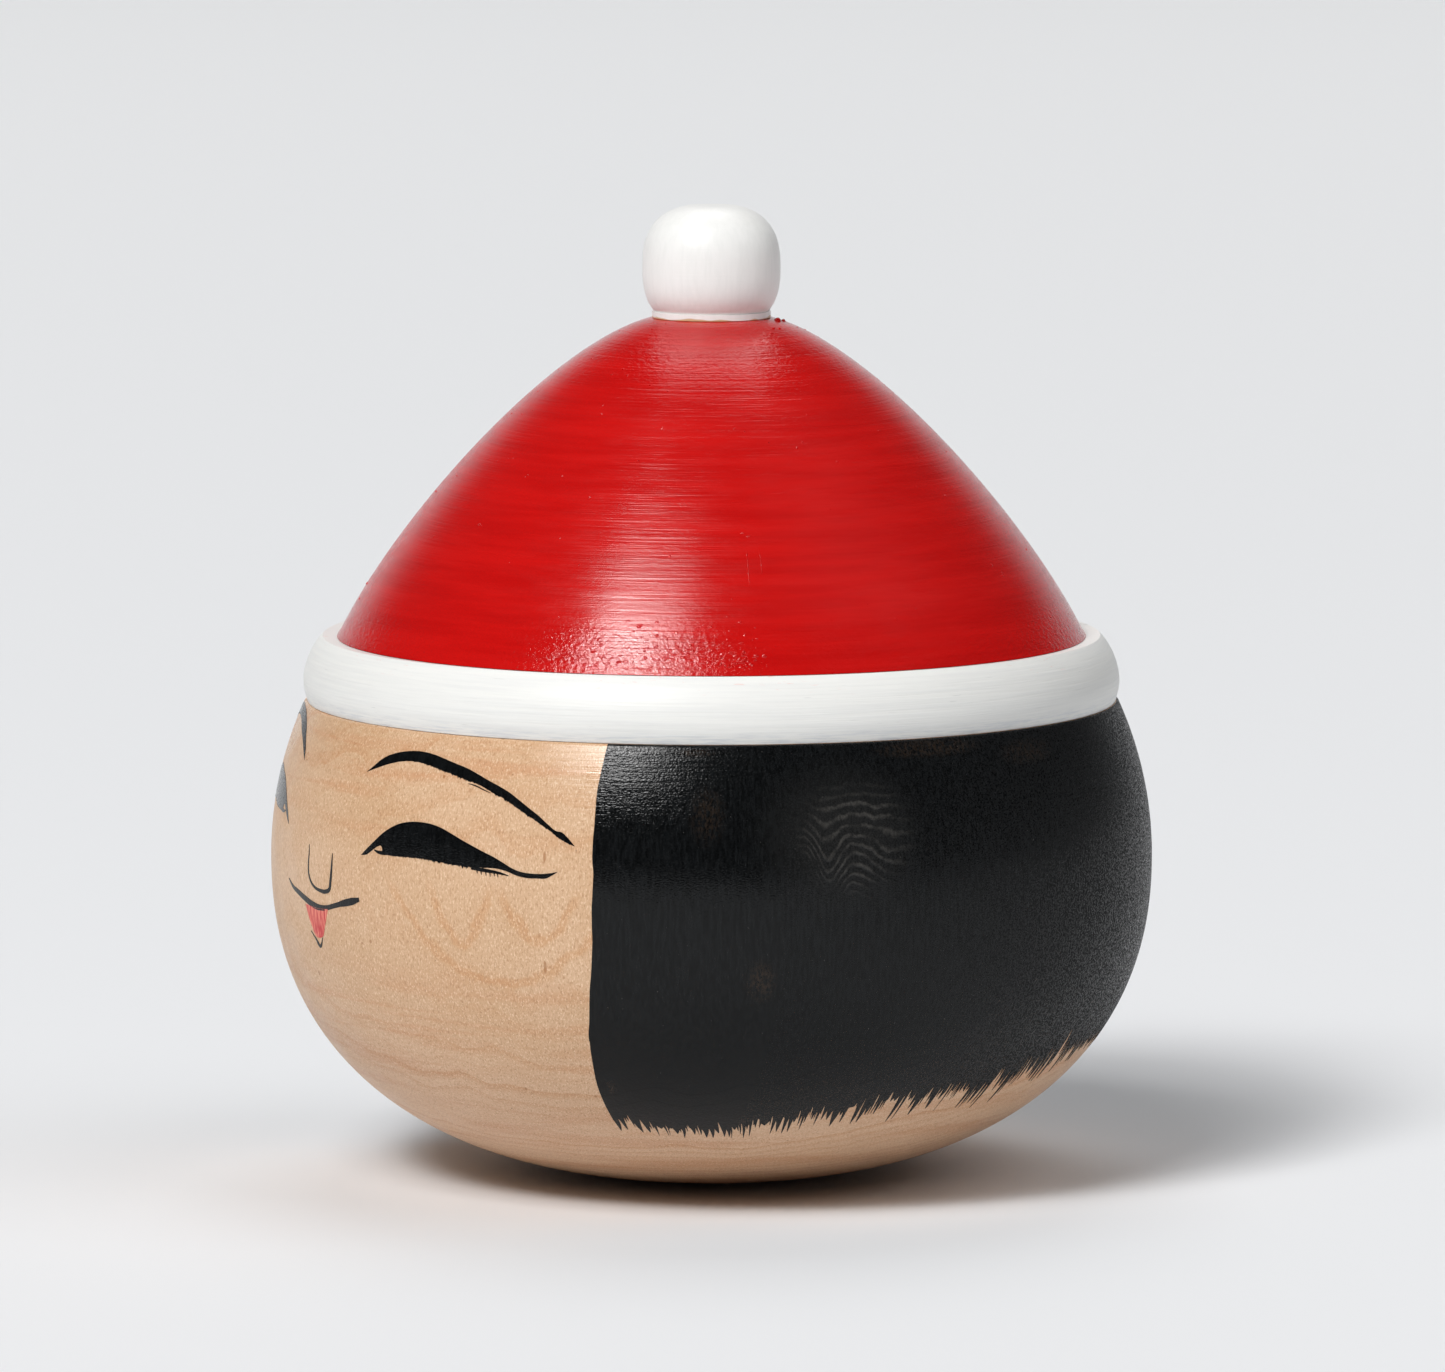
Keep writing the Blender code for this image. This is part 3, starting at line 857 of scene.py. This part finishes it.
HAIR_FRONT = (
    (47.7, 48.6), (47.4, 46.7), (47, 43.8), (46.9, 40), (46.9, 33.5), (46.7, 28),
    (46, 22.5), (45.5, 19.1), (45.4, 16.6), (45.4, 13.9), (45.7, 12.2), (46.4, 9.7),
    (46.6, 8.2), (46.6, 7),
)
HAIR_COLUMNS, FRINGE_COLUMNS = 300, 3000
FRINGE_RADIUS = 38
FRINGE_BEND = 5  # the bristle marks lean from this far below the seam
FRINGE_ROOTS = (
    (46, 10.2), (47.5, 10.4), (50, 9.9), (55, 9.4), (61, 9.6), (66, 9.7), (70, 10.1), (74, 10.5),
    (78, 11.1), (84, 11.5), (90, 12.3), (98, 12.6), (106, 12.8), (114, 13.6), (119, 14.4),
    (124, 15), (134, 15.4), (150, 16), (180, 16.2),
)
FRINGE_TIPS = (
    (46, 8.6), (48, 8.45), (53, 8.1), (60, 8.15), (68, 8), (74, 8.2), (79, 8.9), (86, 9.1),
    (92, 8.95), (103, 9.1), (110, 9.7), (116, 10.3), (122, 11.8), (126, 12.3), (134, 13.3),
    (155, 14), (180, 14.2),
)
FRINGE_LEAN = ((46, 0), (50, -12), (63, -14), (69, 0), (90, 4), (110, 3), (125, 0), (180, 0))
SLIVERS = (  # a long sliver of bare wood's angle, top, width
    (47.6, 10.8, 0.3), (49.4, 10.5, 0.45), (61.6, 10.3, 0.4), (69.6, 10.7, 0.4),
    (77.5, 11.3, 0.5), (84.8, 12.2, 0.35), (88, 13.5, 0.22), (90.2, 13.15, 0.75),
    (93.3, 13.5, 0.3), (97.1, 13.3, 0.6), (99.3, 13, 0.5), (104.1, 13.4, 0.4),
    (110.2, 13.95, 0.9), (113.4, 14.1, 0.25), (116.2, 15.1, 0.45), (119.3, 15.2, 0.3),
    (121.4, 15.9, 0.4), (123.4, 17.7, 0.75), (125.6, 15.8, 0.35), (128.3, 16.6, 0.3),
    (131, 16, 0.28), (134.4, 16.8, 0.35), (140, 16.9, 0.3), (112, 14.8, 0.2),
    (114.8, 15.7, 0.22), (117.9, 15, 0.22), (120.3, 16.6, 0.2), (124.7, 17, 0.24),
    (126.9, 16.3, 0.2), (129.7, 17.3, 0.22), (132.6, 16.5, 0.2), (137, 17.2, 0.24),
)


def hair_front(height):
    """The angle of the hair's front edge at a height."""
    line = smooth_curve(HAIR_FRONT, 200)
    return np.interp(height, line[::-1, 1], line[::-1, 0])


def from_table(table, angle):
    """A value by angle, the same on both sides of the head."""
    folded = 180 - np.abs(180 - angle)
    return np.interp(folded, [row[0] for row in table], [row[1] for row in table])


def hair_sheets():
    """The hair above the seam, and the fringe below it, whose columns lean like bristles."""
    heights = np.concatenate((
        np.linspace(HAIR_TOP_Z, SHOULDER_Z - SHOULDER_ROUND, 5),
        np.linspace(48, HAIR_SEAM_Z, 54),
    ))
    share = np.linspace(0, 1, HAIR_COLUMNS)
    edge = hair_front(heights) + 0.1 * wobble(len(heights), 3, 5)
    main = edge[:, None] + share * (360 - 2 * edge[:, None])

    share = np.linspace(0, 1, FRINGE_COLUMNS)
    seam_edge = edge[-1]
    base = seam_edge + share * (360 - 2 * seam_edge)
    side = np.where(base > 180, -1, 1)
    lean = np.tan(np.radians(from_table(FRINGE_LEAN, base))) * side
    low = fringe_edge(base)
    down = np.linspace(0, 1, 12)[:, None]
    heights_low = HAIR_SEAM_Z + down * (low - HAIR_SEAM_Z)
    bend = np.clip(HAIR_SEAM_Z - FRINGE_BEND - heights_low, 0, FRINGE_BEND)
    angle = base - np.degrees(lean * bend / head_radius(heights_low))
    front = hair_front(heights_low) - seam_edge
    pull = np.clip(1 - share / 0.02, 0, 1) - np.clip(1 - (1 - share) / 0.02, 0, 1)
    heights_main = np.repeat(heights[:, None], HAIR_COLUMNS, 1)
    return (main, heights_main), (angle + front * pull, heights_low)


def fringe_edge(base):
    """The height of the fringe's lower edge: bristle tips, with wedges of wood between them."""
    rng = np.random.default_rng(17)
    along = np.radians(base) * FRINGE_RADIUS
    roots, tips = from_table(FRINGE_ROOTS, base), from_table(FRINGE_TIPS, base)
    teeth = np.zeros_like(along)
    at = along[0]
    while at < along[-1]:
        width = rng.uniform(0.3, 0.85)
        reach = np.abs(along - at - width / 2) / (rng.uniform(0.36, 0.66) * width)
        teeth = np.maximum(teeth, rng.beta(1.5, 0.8) * np.clip(1 - reach, 0, 1) ** 0.75)
        at += width
    edge = roots - (roots - tips) * teeth
    slivers = [(side * angle % 360, top, width) for angle, top, width in SLIVERS
               for side in (1, -1)]
    for angle in rng.uniform(base[0], base[-1], 150):
        root, tip = from_table(FRINGE_ROOTS, angle), from_table(FRINGE_TIPS, angle)
        rise = (root - tip) * rng.uniform(-0.1, 0.5) * (1.8 if 115 < angle < 245 else 1)
        slivers.append((angle, float(root + rise), rng.uniform(0.12, 0.42)))
    for angle, top, width in slivers:
        reach = np.clip(1 - np.abs(along - np.radians(angle) * FRINGE_RADIUS) / (width / 2), 0, 1)
        low = roots - 0.55 * (roots - tips)
        edge = np.where(reach > 0, np.maximum(edge, low + (top - low) * reach ** 0.85), edge)
    return np.minimum(edge, HAIR_SEAM_Z - 0.2)


BEAD_STEP = 0.2  # between points of the line that the beads sit on
BLOBS = (  # angle, height, half width, half length, height proud
    (68.6, 65.2, 0.07, 2.9, 0.05), (68.1, 68.4, 0.3, 0.09, 0.05), (69.2, 68.1, 0.28, 0.09, 0.05),
    (71, 65.8, 0.06, 2.2, 0.04), (140, 87.45, 0.55, 0.45, 0.32), (152, 87.3, 0.35, 0.3, 0.2),
    (118, 86.9, 0.22, 0.2, 0.12), (112, 86.95, 0.3, 0.15, 0.12), (104, 86.6, 0.3, 0.2, 0.1),
    (35, 71.5, 0.28, 0.16, 0.08), (-24, 70, 0.18, 0.14, 0.1), (10, 68.2, 0.3, 0.15, 0.08),
    (44, 75, 0.16, 0.2, 0.09), (-27, 60.4, 0.22, 0.18, 0.12),
)


def beads(name, spots, line, body, material):
    """Little domes of paint on a turned surface.

    line is its outline from the top, evenly spaced. Each spot is (angle, distance along the
    line, half width, half length, height), in mm but for the angle.
    """
    step = np.linalg.norm(line[1] - line[0])
    along = np.arange(len(line)) * step
    run = np.gradient(line, axis=0)
    run /= np.linalg.norm(run, axis=1)[:, None]
    rings, sectors = 4, 10
    share = np.linspace(1, 0, rings, endpoint=False)[:, None]
    turn = np.linspace(0, math.tau, sectors, endpoint=False)
    vertices, faces = [], []
    for angle, at, wide, long, high in spots:
        lift = np.append((high * (1.35 * (1 - share ** 2) - 0.35) + 0 * turn).ravel(), high)
        aside = np.append((wide * share * np.cos(turn)).ravel(), 0)
        down = np.clip(at + np.append((long * share * np.sin(turn)).ravel(), 0), 0, along[-1])
        radius, height, run_r, run_z = (
            np.interp(down, along, column) for column in np.hstack((line, run)).T
        )
        start = sum(len(block) for block in vertices)
        vertices.append(placed(radius - lift * run_z, angle + np.degrees(aside / radius),
                               height + lift * run_r))
        faces += grid_faces(rings, sectors, True, start)
        last = start + (rings - 1) * sectors
        faces += [[last + j, last + sectors, last + (j + 1) % sectors] for j in range(sectors)]
    return new_piece(name, np.vstack(vertices), faces, body, material)


def dome_spots(line):
    """Nibs all over the enamel, a wrinkled patch above the band, a scar and some blobs."""
    rng = np.random.default_rng(5)
    reach = BEAD_STEP * np.arange(len(line))
    length = reach[-1]
    spots = []
    for _ in range(150):
        size = rng.uniform(0.08, 0.2)
        spots.append((rng.uniform(0, 360), length * rng.uniform(0.02, 0.985), size,
                      size * rng.uniform(0.6, 1.2), rng.uniform(0.03, 0.08)))
    for _ in range(120):
        spots.append((rng.uniform(36, 70), length - rng.beta(1.2, 2.6) * 6.5,
                      rng.uniform(0.1, 0.42), rng.uniform(0.08, 0.22), rng.uniform(0.02, 0.06)))
    for _ in range(26):
        spots.append((rng.normal(66.5, 2), length - rng.uniform(0.4, 2.2),
                      rng.uniform(0.15, 0.38), rng.uniform(0.14, 0.3), rng.uniform(0.06, 0.13)))
    return spots + [(angle, float(np.interp(-z, -line[:, 1], reach)), *size)
                    for angle, z, *size in BLOBS]


# -------- the pieces

painted_wood = wood("painted_head_wood", 0.42)
plug_wood = wood("plug_wood", 0.5)
hair_black = ink("hair_black")
red = enamel()

turned("head_wood", head_profile(), HEAD_SEGMENTS, HEAD, painted_wood,
       ("head_bowl",))
turned("weight_slug", disc_profile(WEIGHT_TOP_Z, WEIGHT_Z, True), DISC_SEGMENTS, HEAD,
       steel(), ("righting_weight",))
turned("floor_plug", disc_profile(FLOOR_Z, PLUG_Z, False), DISC_SEGMENTS, HEAD,
       plug_wood, ("weight_plug",))

hair_main, hair_fringe = hair_sheets()
film("hair_paint", [hair_main], hair_black)
film("hair_fringe", [hair_fringe], hair_black)

eye = between(EYE_UPPER, EYE_LOWER, 420, 7, EYE_ROUGH)
far_eye = [(angle, height + from_table(FAR_EYE_RISE, angle))
           for angle, height in (eye, stroke(*EYE_STROKES[0]))]
brows = [between(BROW_UPPER, BROW_LOWER, 420, 4, BROW_ROUGH),
         mirrored(between(FAR_BROW_UPPER, FAR_BROW_LOWER, 420, 4, BROW_ROUGH))]
lashes = [stroke(((angle, LASH_Z), (angle + 0.1, LASH_Z - 0.06 - length)), (0.15, 0.05), 8, 3)
          for angle, length in LASHES]
film("brow_paint", brows + [stroke(*wisp) for wisp in BROW_WISPS], hair_black)
film("eye_paint",
     [eye, *(stroke(*path) for path in EYE_STROKES), *lashes, *map(mirrored, far_eye)], hair_black)
film("nose_paint", [stroke(*NOSE, 90)], hair_black)
film("mouth_paint", [stroke(*MOUTH, 110)], hair_black)
film("lip_paint", [between(LIP_UPPER, LIP_LOWER, 120, 6, LIP_ROUGH)], lip_red())
film("chin_paint", [stroke(*CHIN_TICK, 40)], hair_black)

# Hat.
dome = evenly(bezier(DOME_CURVE, 400), 0.45)
hollow = evenly(bezier(HOLLOW_CURVE, 200), 1)
hole_radius = TENON_RADIUS + FIT_GAP
hole_bottom = TENON_END_Z - FIT_GAP
socket_radius = SPIGOT_RADIUS + FIT_GAP
socket_top = SPIGOT_TOP_Z + FIT_GAP
lip_bottom = LIP_UNDERSIDE_Z - LIP_THICKNESS
crown = np.vstack((
    [(0, hole_bottom), (hole_radius, hole_bottom), (hole_radius, DOME_TOP_Z)],
    dome[:-1],
    [(LIP_RADIUS + 0.12, LIP_UNDERSIDE_Z + 0.1), (LIP_RADIUS + 0.25, LIP_UNDERSIDE_Z - 0.15),
     (LIP_RADIUS - 0.2, lip_bottom), (CROWN_FOOT_RADIUS, lip_bottom),
     (CROWN_FOOT_RADIUS, HAT_SEAT_Z), (socket_radius + SOCKET_CHAMFER, HAT_SEAT_Z),
     (socket_radius, HAT_SEAT_Z + SOCKET_CHAMFER), (socket_radius, socket_top)],
    hollow,
))
turned("crown_enamel", crown, HAT_SEGMENTS, HAT, red, ("hat_crown",))

dome_line = evenly(bezier(DOME_CURVE, 1200), BEAD_STEP)
beads("enamel_nibs", dome_spots(dome_line), dome_line, HAT, red)

low = height_angle(BAND_SEAT_Z - BAND_MIDDLE_Z, BAND_HALF_HEIGHT, BAND_POWER)
ring = superellipse(
    (BAND_SHELL_RADIUS, BAND_MIDDLE_Z), (BAND_RADIUS - BAND_SHELL_RADIUS, BAND_HALF_HEIGHT),
    (BAND_POWER, BAND_POWER), np.linspace(math.radians(86), low, 600),
)
ring = ring[ring[:, 1] < lip_bottom + 0.25]
bore = CROWN_FOOT_RADIUS + GLUE_GAP
band = np.vstack((
    [(bore, lip_bottom), (BAND_INNER_TOP_RADIUS, lip_bottom)], evenly(ring, 0.3),
    [(bore, BAND_SEAT_Z)],
))
turned("band_paint", band, HAT_SEGMENTS, HAT, band_white(), ("hat_band",))

top = math.acos((POMPOM_FLAT_RADIUS / POMPOM_RADIUS) ** (1 / POMPOM_POWER))
bottom = height_angle(COLLAR_TOP_Z - POMPOM_MIDDLE_Z, POMPOM_HALF_HEIGHT, POMPOM_POWER)
ball = superellipse(
    (0, POMPOM_MIDDLE_Z), (POMPOM_RADIUS, POMPOM_HALF_HEIGHT), (POMPOM_POWER, POMPOM_POWER),
    np.linspace(top, bottom, 400),
)
ball = evenly(ball, 0.25)
shelf = DOME_TOP_Z + GLUE_GAP
pompom = np.vstack((
    [(0, ball[0, 1])], ball,
    [(COLLAR_RADIUS, COLLAR_TOP_Z), (COLLAR_RADIUS, shelf), (TENON_RADIUS, shelf),
     (TENON_RADIUS, TENON_END_Z), (0, TENON_END_Z)],
))
turned("pompom_paint", pompom, POMPOM_SEGMENTS, HAT, pompom_white(),
       ("pompom",))


# -------- floor, light, camera

def floor():
    """A wide pale floor with painted light: paler far away, making up for the less light that
    reaches it.
    """
    mat = Surface("studio_floor", Roughness=0.9, Specular_IOR_Level=0.1)
    out = mat.vector("LENGTH", mat.point)
    pale = mat.set(
        Base_Color=mat.mix(mat.range(out, *FLOOR_FADE), FLOOR_NEAR, FLOOR_FAR)
    )
    count = FLOOR_SEGMENTS
    vertices = [(0, 0, 0)]
    for radius in FLOOR_RINGS:
        vertices += [(radius * math.cos(math.tau * j / count),
                      radius * math.sin(math.tau * j / count), 0) for j in range(count)]
    faces = [[0, 1 + j, 1 + (j + 1) % count] for j in range(count)]
    faces += grid_faces(len(FLOOR_RINGS), count, True, 1)
    mesh = bpy.data.meshes.new("studio_floor")
    mesh.from_pydata(vertices, [], faces)
    mesh.materials.append(pale)
    added("studio_floor", mesh)


def around(azimuth, elevation, distance, centre):
    """A point seen from the centre at this azimuth and elevation, and the turn to face it."""
    a, e = math.radians(azimuth), math.radians(elevation)
    back = Vector((math.sin(a) * math.cos(e), -math.cos(a) * math.cos(e), math.sin(e)))
    return centre + back * distance, (-back).to_track_quat("-Z", "Y").to_euler()


def softbox(name, azimuth, elevation, distance, size, watts, colour, reflected):
    light = bpy.data.lights.new(name, "AREA")
    light.shape = "RECTANGLE"
    light.size, light.size_y = size
    light.energy = watts
    light.color = colour
    made = added(name, light)
    made.location, made.rotation_euler = around(
        azimuth, elevation, distance, Vector((0, 0, LIGHT_AIM_Z * MM))
    )
    made.visible_camera = False
    made.visible_glossy = reflected


def camera():
    lens = bpy.data.cameras.new("camera")
    lens.lens = CAMERA_LENS
    lens.sensor_width = SENSOR_WIDTH
    lens.clip_start, lens.clip_end = 0.01, 50
    made = added("camera", lens)
    a = math.radians(CAMERA_AZIMUTH)
    aim = Vector((AIM_RIGHT * math.cos(a), AIM_RIGHT * math.sin(a), AIM_Z)) * MM
    made.location, made.rotation_euler = around(
        CAMERA_AZIMUTH, CAMERA_ELEVATION, CAMERA_DISTANCE, aim
    )
    bpy.context.scene.camera = made


def studio():
    """A dark room in front, a pale backdrop behind, and the softboxes."""
    world = bpy.data.worlds.new("studio_world")
    world.use_nodes = True
    tree = world.node_tree
    back = math.radians(CAMERA_AZIMUTH)
    direction = tree.nodes.new("ShaderNodeTexCoord").outputs["Generated"]
    facing = tree.nodes.new("ShaderNodeVectorMath")
    facing.operation = "DOT_PRODUCT"
    facing.inputs[1].default_value = (-math.sin(back), math.cos(back), BACKDROP_DROP)
    tree.links.new(direction, facing.inputs[0])
    glow = tree.nodes.new("ShaderNodeMapRange")
    glow.interpolation_type = "SMOOTHSTEP"
    for socket, value in zip(("From Min", "From Max", "To Min", "To Max"), BACKDROP_GLOW):
        glow.inputs[socket].default_value = value
    tree.links.new(facing.outputs["Value"], glow.inputs["Value"])
    sky = tree.nodes["Background"]
    sky.inputs["Color"].default_value = (0.96, 0.975, 1, 1)
    tree.links.new(glow.outputs["Result"], sky.inputs["Strength"])
    bpy.context.scene.world = world
    for light in SOFTBOXES:
        softbox(*light)
    bpy.context.scene.view_settings.view_transform = "Standard"


floor()
studio()
camera()
